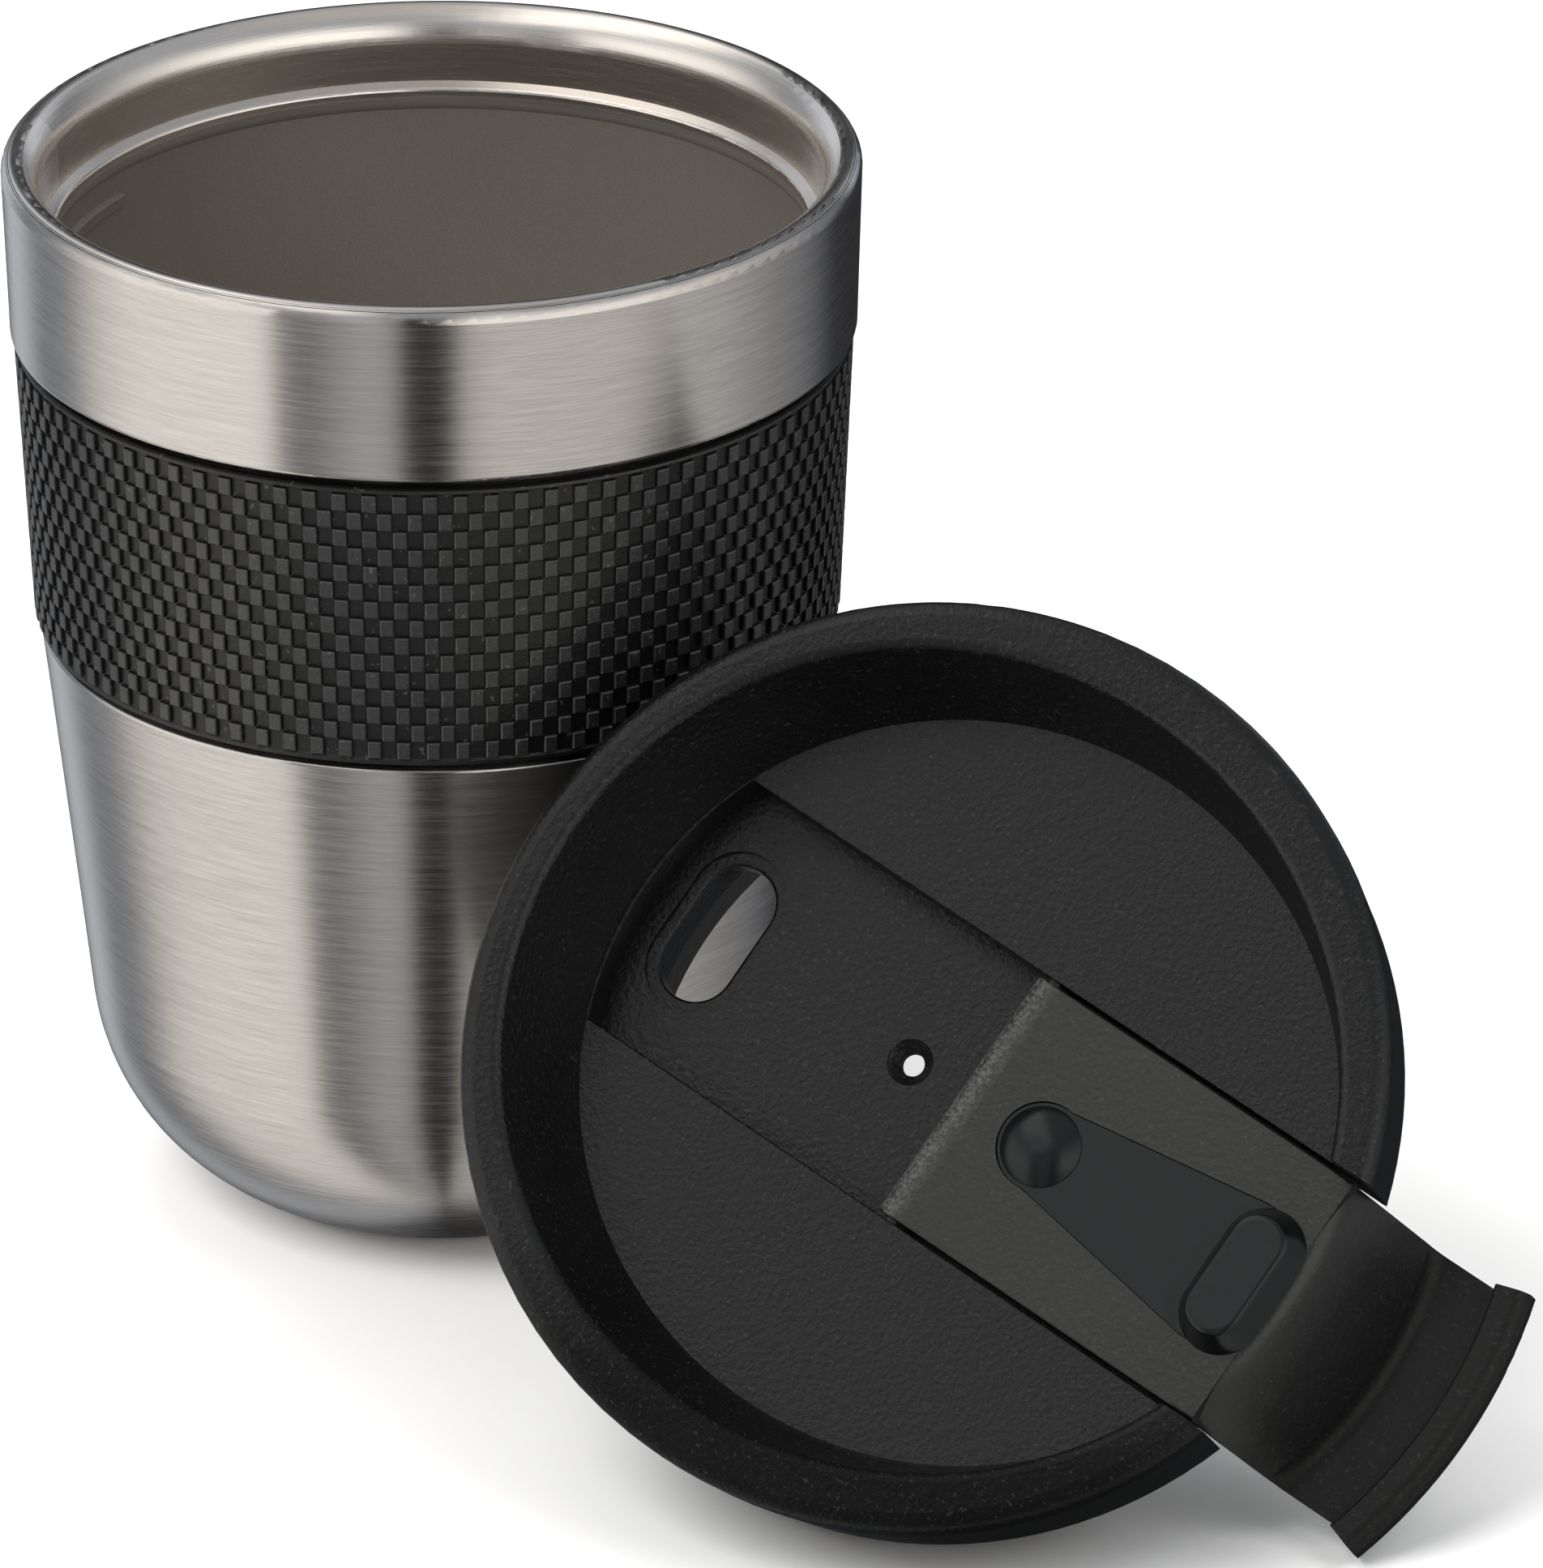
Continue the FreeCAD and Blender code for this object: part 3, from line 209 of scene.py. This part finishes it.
def lining():
    """Inner vessel: bright spun steel at the mouth and neck, blasted below the ledge, with painted light
    that makes the blasted wall lighter deep down.
    """
    made = Tree("lining_steel")
    place = made.coords()
    x, y, z = made.split(place)
    below = made.remap(z, 0.0990, 0.1006, 1.0, 0.0)
    turned_x, turned_y = on_circle(made, x, y)
    fine = made.join(turned_x, turned_y, made.math("MULTIPLY", z, 60.0))
    hair = made.noise(fine, 110.0, 3.0, 0.6)
    grain = made.noise(place, 5200.0, 3.0, 0.7)
    cloud = made.noise(place, 70.0, 3.0, 0.55)
    bright = made.mix(hair, grey(0.72, 0.05), grey(0.80, 0.05))
    matte = made.mix(made.remap(grain, 0.3, 0.7, 0.0, 1.0), grey(0.245, 0.12), grey(0.325, 0.12))
    # painted light and shade: the blasted wall's colour is lighter deep down and darker up towards the
    # ledge
    painted_light_by_height = made.remap(z, 0.055, 0.099, 1.18, 0.62)
    matte = made.vector("MULTIPLY", matte, made.join(painted_light_by_height, painted_light_by_height, painted_light_by_height))
    colour = made.mix(below, bright, matte)
    rough_top = made.remap(hair, 0.3, 0.7, 0.20, 0.30)
    rough_low = made.remap(cloud, 0.3, 0.7, 0.46, 0.58)
    rough = made.node("Mix", data_type="FLOAT")
    made.put(rough.inputs[0], below)
    made.put(rough.inputs[2], rough_top)
    made.put(rough.inputs[3], rough_low)
    height = made.node("Mix", data_type="FLOAT")
    made.put(height.inputs[0], below)
    made.put(height.inputs[2], hair)
    made.put(height.inputs[3], grain)
    metal = made.math("MULTIPLY_ADD", below, -0.45, 1.0)
    return made.surface(Base_Color=colour, Metallic=metal, Roughness=rough.outputs[0],
                        Normal=made.bump(height.outputs[0], 0.3, 0.00004))


# ---------------------------------------------------------------- plastics and rubber
# The sleeve's outline, in millimetres: it tapers a little towards the foot.
SLEEVE_TOP = 90.5
SLEEVE_LOW = 61.15
SLEEVE_TOP_R = 41.05
SLEEVE_LOW_R = 39.75
SLEEVE_SLOPE = (SLEEVE_TOP_R - SLEEVE_LOW_R) / (SLEEVE_TOP - SLEEVE_LOW)

# The lid's own directions and lengths, in metres, where its painted light and shade change.
DOWNHILL = (0.412, -0.911, 0.0)
WALL_FROM = 0.0004
WALL_TO = 0.0016
TAB_X = 0.0425
KNUCKLE_X = 0.0024
KNUCKLE_END_X = 0.0048


def moulded(name, low, high, rough_low, rough_high, grain_scale, grain_deep, turn=None, place=None,
            tint=(1.0, 1.0, 1.0), specular=0.5, painted_glints=0.0, painted_light=None):
    """Moulded black plastic or rubber with spark-eroded grain."""
    made = Tree(name)
    spot = made.coords(turn, place)
    grain = made.noise(spot, grain_scale, 3.0, 0.65)
    pits = made.cells(spot, grain_scale * 0.55)
    cloud = made.noise(spot, 55.0, 3.0, 0.5)
    height = made.math("ADD", made.math("MULTIPLY", grain, 0.6), made.math("MULTIPLY", pits, 0.4))
    shade = made.math("ADD", made.math("MULTIPLY", grain, 0.5), made.math("MULTIPLY", cloud, 0.5))
    dark = tuple(low * part for part in tint) + (1.0,)
    light = tuple(high * part for part in tint) + (1.0,)
    colour = made.mix(made.remap(shade, 0.3, 0.7, 0.0, 1.0), dark, light)
    # light flecks in the colour, as painted glints of the grain
    if painted_glints:
        fleck = made.remap(made.noise(spot, grain_scale * 0.8, 1.0, 0.5), 0.64, 0.72, 0.0, painted_glints)
        colour = made.mix(fleck, colour, grey(high * 5.0))
    # painted light or shade from the given function, on the colour and the specular level
    if painted_light:
        colour, specular = painted_light(made, spot, grain, colour, specular)
    return made.surface(Base_Color=colour, Roughness=made.remap(cloud, 0.3, 0.7, rough_low, rough_high),
                        Normal=made.bump(height, 0.6, grain_deep), Specular_IOR_Level=specular,
                        Specular_Tint=tint + (1.0,))


def painted_shade_low_wall(made, spot, grain, colour, specular):
    """Painted shade: the lid's wall and rim get a lower specular level on the side that lies lowest."""
    down = made.node("VectorMath", operation="DOT_PRODUCT")
    made.link(spot, down.inputs[0])
    down.inputs[1].default_value = DOWNHILL
    low_side = made.remap(down.outputs["Value"], 0.022, 0.036, 0.0, 1.0)
    raised = made.remap(made.split(spot)[2], WALL_FROM, WALL_TO, 0.0, 1.0)
    painted_shade = made.math("MULTIPLY", low_side, raised)
    return colour, made.remap(painted_shade, 0.0, 1.0, specular, 0.3 * specular)


def painted_light_flap(made, spot, grain, colour, specular):
    """Painted light on the flap: painted shade beyond its bend, a lower specular level, and a pale grainy
    painted highlight along its knuckle.
    """
    along = made.split(spot)[0]
    knuckle = made.remap(along, KNUCKLE_X, KNUCKLE_END_X, 1.0, 0.0)
    knuckle_highlight = made.math("MULTIPLY", knuckle, made.remap(grain, 0.42, 0.62, 0.15, 0.9))
    level = made.remap(along, TAB_X - 0.002, TAB_X + 0.001, specular, 0.25 * specular)
    return made.mix(knuckle_highlight, colour, grey(0.085)), level


def checked_rubber():
    """Sleeve silicone: the raised squares are matt and grainy, with a stronger specular level as painted
    sheen; the sunk ones are painted darker, as shade in the recesses.
    """
    made = Tree("sleeve_rubber")
    spot = made.coords()
    x, y, z = made.split(spot)
    radius = made.from_axis(x, y)
    face = made.math("MULTIPLY_ADD", z, SLEEVE_SLOPE, (SLEEVE_LOW_R - SLEEVE_SLOPE * SLEEVE_LOW) * MM)
    above = made.remap(made.math("SUBTRACT", radius, face), -0.00016, 0.00006, 0.0, 1.0)
    grain = made.noise(spot, 2600.0, 3.0, 0.65)
    cloud = made.noise(spot, 90.0, 3.0, 0.6)
    shade = made.mix(made.remap(grain, 0.35, 0.65, 0.0, 1.0), grey(0.0060, -0.06), grey(0.0130, -0.06))
    # painted shade: the sunk squares are darker than the raised ones
    colour = made.mix(above, grey(0.003), shade)
    fleck = made.remap(made.noise(spot, 1500.0, 1.0, 0.5), 0.70, 0.75, 0.0, 0.7)
    colour = made.mix(fleck, colour, grey(0.05))
    # painted sheen: the raised squares get a stronger specular level
    level = made.math("MULTIPLY_ADD", above, 0.42, 0.50)
    return made.surface(Base_Color=colour, Roughness=made.remap(cloud, 0.3, 0.7, 0.34, 0.46),
                        Specular_IOR_Level=level, Normal=made.bump(grain, 0.6, 0.00008))


def polished(name, low, high, rough, metallic=1.0):
    """A smooth surface with faint scratches, for welds, clips and other small pieces."""
    made = Tree(name)
    spot = made.coords()
    scratch = made.noise(made.vector("MULTIPLY", spot, (1.0, 7.0, 1.0)), 1500.0, 3.0, 0.6)
    cloud = made.noise(spot, 300.0, 2.0, 0.5)
    colour = made.mix(cloud, grey(low), grey(high))
    return made.surface(Base_Color=colour, Metallic=metallic, Normal=made.bump(scratch, 0.3, 0.00002),
                        Roughness=made.remap(cloud, 0.3, 0.7, rough, rough + 0.12))


def paint(node, material):
    """Give a CAD node this material and no other."""
    slots = nodes[node].data.materials
    slots.clear()
    slots.append(material)


paint("outer_shell", brushed_round("shell_steel", 0.52, 0.67, 0.19, 0.26))
paint("base_plate", brushed_round("base_steel", 0.44, 0.56, 0.24, 0.34))
paint("inner_vessel", lining())
paint("rim_weld", polished("weld_steel", 0.50, 0.60, 0.28))
paint("base_weld", polished("base_weld_steel", 0.34, 0.42, 0.4))
paint("getter_clip", polished("clip_steel", 0.4, 0.5, 0.3))
paint("getter", polished("getter_metal", 0.16, 0.24, 0.6))
paint("hinge_pin", polished("pin_black", 0.012, 0.02, 0.35, metallic=0.0))
paint("heat_shield", polished("foil", 0.75, 0.85, 0.15))
paint("vacuum_seal", polished("seal_bead", 0.06, 0.10, 0.12, metallic=0.0))
sleeve_rubber = checked_rubber()
paint("grip_sleeve", sleeve_rubber)
paint("foot_pad", moulded("foot_rubber", 0.014, 0.022, 0.6, 0.7, 2200.0, 0.00004))
# the lid's plastic gets painted shade on its low wall and rim, and light flecks as painted glints
lid_plastic = moulded("lid_plastic", 0.0012, 0.0034, 0.26, 0.36, 2900.0, 0.00020, lid_turn, lid_place,
                      tint=(0.96, 0.98, 1.0), specular=0.42, painted_glints=0.7, painted_light=painted_shade_low_wall)
for name in ("lid_shell", "lid_plug"):
    paint(name, lid_plastic)
# the flap gets painted shade on its tab, a painted highlight along its knuckle and a few painted glints
paint("flap", moulded("flap_plastic", 0.0060, 0.0105, 0.27, 0.36, 2800.0, 0.00008, lid_turn, lid_place,
                      tint=(0.98, 1.0, 0.985), painted_glints=0.2, painted_light=painted_light_flap))
paint("flap_seal", moulded("seal_silicone", 0.0025, 0.0045, 0.22, 0.30, 1400.0, 0.00002,
                           lid_turn, lid_place, tint=(0.88, 0.96, 1.0), specular=0.38))
ring_silicone = moulded("ring_silicone", 0.014, 0.02, 0.5, 0.6, 1600.0, 0.00001, lid_turn, lid_place)
paint("lid_gasket", ring_silicone)
paint("plug_oring", ring_silicone)


def smooth(node, degrees=32.0):
    """Shade by angle, so that turned surfaces read as round."""
    mesh = nodes[node].data
    mesh.shade_smooth()
    limit = math.cos(math.radians(degrees))
    work = bmesh.new()
    work.from_mesh(mesh)
    sharp = [False] * len(work.edges)
    for edge in work.edges:
        if len(edge.link_faces) == 2:
            first, second = edge.link_faces
            sharp[edge.index] = first.normal.dot(second.normal) < limit
        else:
            sharp[edge.index] = True
    work.free()
    layer = mesh.attributes.get("sharp_edge") or mesh.attributes.new("sharp_edge", "BOOLEAN", "EDGE")
    layer.data.foreach_set("value", sharp)


# ---------------------------------------------------------------- grip sleeve
COLUMNS = 176
ROWS = 15
CHECK_TOP = 89.9
CHECK_LOW = 61.9
SLEEVE_WALL = 1.35
SUNK = -0.30
PROUD = 0.16


def sleeve_radius(z):
    """The sleeve's outside at this height, in millimetres."""
    return SLEEVE_LOW_R + SLEEVE_SLOPE * (z - SLEEVE_LOW)


def ring_point(work, radius, turn, z):
    """A vertex from millimetres and an angle round the mug."""
    return work.verts.new((radius * math.cos(turn) * MM, radius * math.sin(turn) * MM, z * MM))


def make_sleeve():
    """A closed band whose outside is a checkerboard of raised squares."""
    work = bmesh.new()
    turn_step = 2.0 * math.pi / COLUMNS
    row_step = (CHECK_TOP - CHECK_LOW) / ROWS
    low_in, top_in = SLEEVE_LOW_R - SLEEVE_WALL, SLEEVE_TOP_R - SLEEVE_WALL
    low_edge = [(low_in, SLEEVE_LOW),
                (SLEEVE_LOW_R - 0.35, SLEEVE_LOW),
                (SLEEVE_LOW_R - 0.12, SLEEVE_LOW + 0.12),
                (SLEEVE_LOW_R - 0.10, SLEEVE_LOW + 0.5)]
    heights = [CHECK_LOW + row * row_step for row in range(ROWS + 1)]
    checks = [(sleeve_radius(z) + SUNK, z) for z in heights]
    top_edge = [(SLEEVE_TOP_R - 0.12, CHECK_TOP + 0.12),
                (SLEEVE_TOP_R - 0.10, SLEEVE_TOP - 0.35),
                (SLEEVE_TOP_R - 0.16, SLEEVE_TOP - 0.12),
                (SLEEVE_TOP_R - 0.45, SLEEVE_TOP),
                (top_in, SLEEVE_TOP)]
    profile = low_edge + checks + top_edge
    first_row = len(low_edge)
    rings = [[ring_point(work, radius, column * turn_step, z) for column in range(COLUMNS)]
             for radius, z in profile]
    for level, ring in enumerate(rings):
        above = rings[(level + 1) % len(rings)]
        row = level - first_row
        for column in range(COLUMNS):
            after = (column + 1) % COLUMNS
            corners = [ring[column], ring[after], above[after], above[column]]
            if 0 <= row < ROWS and (row + column) % 2 == 0:
                raise_square(work, corners, column * turn_step, turn_step, heights[row], row_step)
            else:
                work.faces.new(corners)
    mesh = bpy.data.meshes.new("grip_sleeve_checked")
    work.normal_update()
    work.to_mesh(mesh)
    work.free()
    sleeve = bpy.data.objects.new("grip_sleeve_checked", mesh)
    bpy.context.scene.collection.objects.link(sleeve)
    mesh.materials.append(sleeve_rubber)
    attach(sleeve, "mug")
    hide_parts("grip_sleeve")


def raise_square(work, corners, turn, turn_step, low, tall):
    """One raised square: a wall, a small rounded edge and a top, set in from the cell's corners."""
    rings = [corners]
    for inset, lift in ((0.02, SUNK), (0.07, PROUD - 0.10), (0.20, PROUD)):
        across = inset / (sleeve_radius(low) * turn_step)
        up = inset / tall
        ring = []
        for side, end in ((across, up), (1.0 - across, up), (1.0 - across, 1.0 - up), (across, 1.0 - up)):
            z = low + tall * end
            ring.append(ring_point(work, sleeve_radius(z) + lift, turn + turn_step * side, z))
        rings.append(ring)
    for outer, inner in zip(rings, rings[1:]):
        for number in range(4):
            after = (number + 1) % 4
            work.faces.new([outer[number], outer[after], inner[after], inner[number]])
    work.faces.new(rings[-1])


make_sleeve()


# ---------------------------------------------------------------- stage, light and camera
def make_floor():
    """Plain pale paper, which the steel doesn't mirror."""
    bpy.ops.mesh.primitive_plane_add(size=8.0, location=(0.0, 0.0, -0.0002))
    floor = bpy.context.object
    floor.name = "floor"
    made = Tree("floor_paper")
    spot = made.coords()
    tone = made.noise(spot, 3.0, 2.0, 0.5)
    colour = made.mix(tone, (0.86, 0.86, 0.86, 1.0), (0.90, 0.90, 0.90, 1.0))
    floor.data.materials.append(made.surface(Base_Color=colour, Roughness=0.9, Specular_IOR_Level=0.1))
    floor.visible_glossy = False


# name, place, size, power: soft panels that all face the foot of the mug
LIGHTS = (("key", (-1.0, -0.9, 1.5), (1.1, 1.1), 32.0),
          ("fill", (1.1, -0.7, 1.5), (1.2, 1.2), 10.0),
          ("top", (0.0, 0.6, 1.7), (1.4, 1.2), 13.0))


def area_light(name, place, size, power):
    """A panel that lights the scene but isn't mirrored; the steel mirrors the world's bands."""
    data = bpy.data.lights.new(name, "AREA")
    data.shape = "RECTANGLE"
    data.size, data.size_y = size
    data.energy = power
    light = bpy.data.objects.new(name, data)
    light.location = place
    light.rotation_euler = (-Vector(place)).to_track_quat("-Z", "Y").to_euler()
    bpy.context.scene.collection.objects.link(light)
    light.visible_glossy = False


# millimetres, metres and degrees, as fitted to the mug's outline
SENSOR = 36.0
LENS = 256.57
CAMERA_PLACE = (0.0331, -0.9992, 0.50106)
CAMERA_DOWN = 24.72


def make_camera():
    """A long lens in front of the mug, tipped down by CAMERA_DOWN degrees."""
    data = bpy.data.cameras.new("camera")
    data.sensor_fit = "HORIZONTAL"
    data.sensor_width = SENSOR
    data.lens = LENS
    data.clip_end = 20.0
    camera = bpy.data.objects.new("camera", data)
    camera.location = CAMERA_PLACE
    camera.rotation_euler = (math.radians(90.0 - CAMERA_DOWN), 0.0, 0.0)
    bpy.context.scene.collection.objects.link(camera)
    bpy.context.scene.camera = camera


# Brightness of the studio round the horizon: degrees to the right of the front, and how bright.
# LOW is what lies below the horizon, which the upright steel walls mirror, and HIGH what lies above.
LOW = ((-180, 0.015), (-168, 0.08), (-155, 0.60), (-145, 0.62), (-130, 0.24), (-115, 0.34), (-100, 0.84),
       (-85, 1.06), (-54, 1.10), (-44, 1.10), (-41, 0.30), (-33, 0.22), (-26, 0.38), (-18, 0.52),
       (-10, 0.50), (-8, 0.34), (-6, 0.03), (5, 0.03), (7, 0.22), (10, 0.58), (18, 0.72), (60, 0.66),
       (85, 0.50), (105, 0.32), (122, 0.20), (138, 0.04), (180, 0.015))
HIGH = ((-180, 0.015), (-164, 0.04), (-157, 0.75), (-145, 0.70), (-130, 0.24), (-115, 0.34), (-100, 0.84),
        (-85, 1.20), (-54, 1.26), (-44, 1.20), (-41, 0.32), (-33, 0.24), (-26, 0.42), (-18, 0.54),
        (-10, 0.52), (-8, 0.34), (-6, 0.03), (5, 0.03), (7, 0.30), (10, 1.10), (18, 1.45), (60, 1.25),
        (85, 0.85), (105, 0.50), (122, 0.26), (138, 0.14), (148, 0.70), (156, 0.70), (163, 0.04),
        (180, 0.015))
# Overhead: the ceiling, what lies straight up, and the box high on the left that the lip mirrors.
ABOVE = (0.38, 0.40, 0.43, 1.0)
ZENITH = (0.50, 0.48, 0.46, 1.0)
LEFT_BOX = (1.55, 1.50, 1.42, 1.0)


def make_world():
    """A soft studio: broad lights left and right, a pale box high on the left, dark gaps between."""
    world = bpy.data.worlds.new("studio")
    world.use_nodes = True
    tree = world.node_tree
    bpy.context.scene.world = world

    def node(kind, **values):
        made = tree.nodes.new("ShaderNode" + kind)
        for key, value in values.items():
            setattr(made, key, value)
        return made

    def span(source, low, high):
        made = node("MapRange")
        made.inputs[1].default_value, made.inputs[2].default_value = low, high
        tree.links.new(source, made.inputs[0])
        return made.outputs[0]

    def ramp(source, stops):
        made = node("ValToRGB")
        elements = made.color_ramp.elements
        elements.remove(elements[1])
        for place, value in stops:
            spot = (place + 180.0) / 360.0
            stop = elements[0] if place == stops[0][0] else elements.new(spot)
            # bluish behind the mug, and the bright panels a little warm
            cool = 0.05 if abs(place) >= 110 else (-0.03 if value > 0.55 else 0.0)
            stop.color = (value * (1.0 - cool), value, value * (1.0 + 1.6 * cool), 1.0)
        tree.links.new(source, made.inputs[0])
        return made.outputs[0]

    def mix(factor, first, second):
        made = node("Mix", data_type="RGBA")
        tree.links.new(factor, made.inputs[0])
        for index, value in ((6, first), (7, second)):
            if isinstance(value, tuple):
                made.inputs[index].default_value = value
            else:
                tree.links.new(value, made.inputs[index])
        return made.outputs[2]

    # how far round, in degrees from the front, and how far up a direction points
    split = node("SeparateXYZ")
    tree.links.new(node("TexCoord").outputs["Generated"], split.inputs[0])
    front = node("Math", operation="MULTIPLY")
    tree.links.new(split.outputs[1], front.inputs[0])
    front.inputs[1].default_value = -1.0
    turn = node("Math", operation="ARCTAN2")
    tree.links.new(split.outputs[0], turn.inputs[0])
    tree.links.new(front.outputs[0], turn.inputs[1])
    degrees = node("Math", operation="DEGREES")
    tree.links.new(turn.outputs[0], degrees.inputs[0])
    around = span(degrees.outputs[0], -180.0, 180.0)
    rise = split.outputs[2]
    # the side bands, dimmer far below the horizon, then the ceiling, the zenith and a box at the left
    dimmed = node("Mix", data_type="RGBA", blend_type="MULTIPLY")
    tree.links.new(span(rise, -0.47, -0.57), dimmed.inputs[0])
    tree.links.new(ramp(around, LOW), dimmed.inputs[6])
    dimmed.inputs[7].default_value = (0.80, 0.80, 0.80, 1.0)
    sides = mix(span(rise, -0.15, 0.10), dimmed.outputs[2], ramp(around, HIGH))
    shown = mix(span(rise, 0.40, 0.70), sides, ABOVE)
    shown = mix(span(rise, 0.84, 0.93), shown, ZENITH)
    box = node("Math", operation="MULTIPLY")
    tree.links.new(span(split.outputs[0], -0.12, -0.30), box.inputs[0])
    tree.links.new(span(rise, 0.66, 0.76), box.inputs[1])
    shown = mix(box.outputs[0], shown, LEFT_BOX)
    background = tree.nodes["Background"]
    tree.links.new(shown, background.inputs["Color"])
    background.inputs["Strength"].default_value = 1.0


make_floor()
make_world()
for light_name, light_place, light_size, light_power in LIGHTS:
    area_light(light_name, light_place, light_size, light_power)
make_camera()

bpy.context.scene.view_settings.view_transform = "Standard"
bpy.context.scene.view_settings.look = "None"

for name in nodes:
    smooth(name)
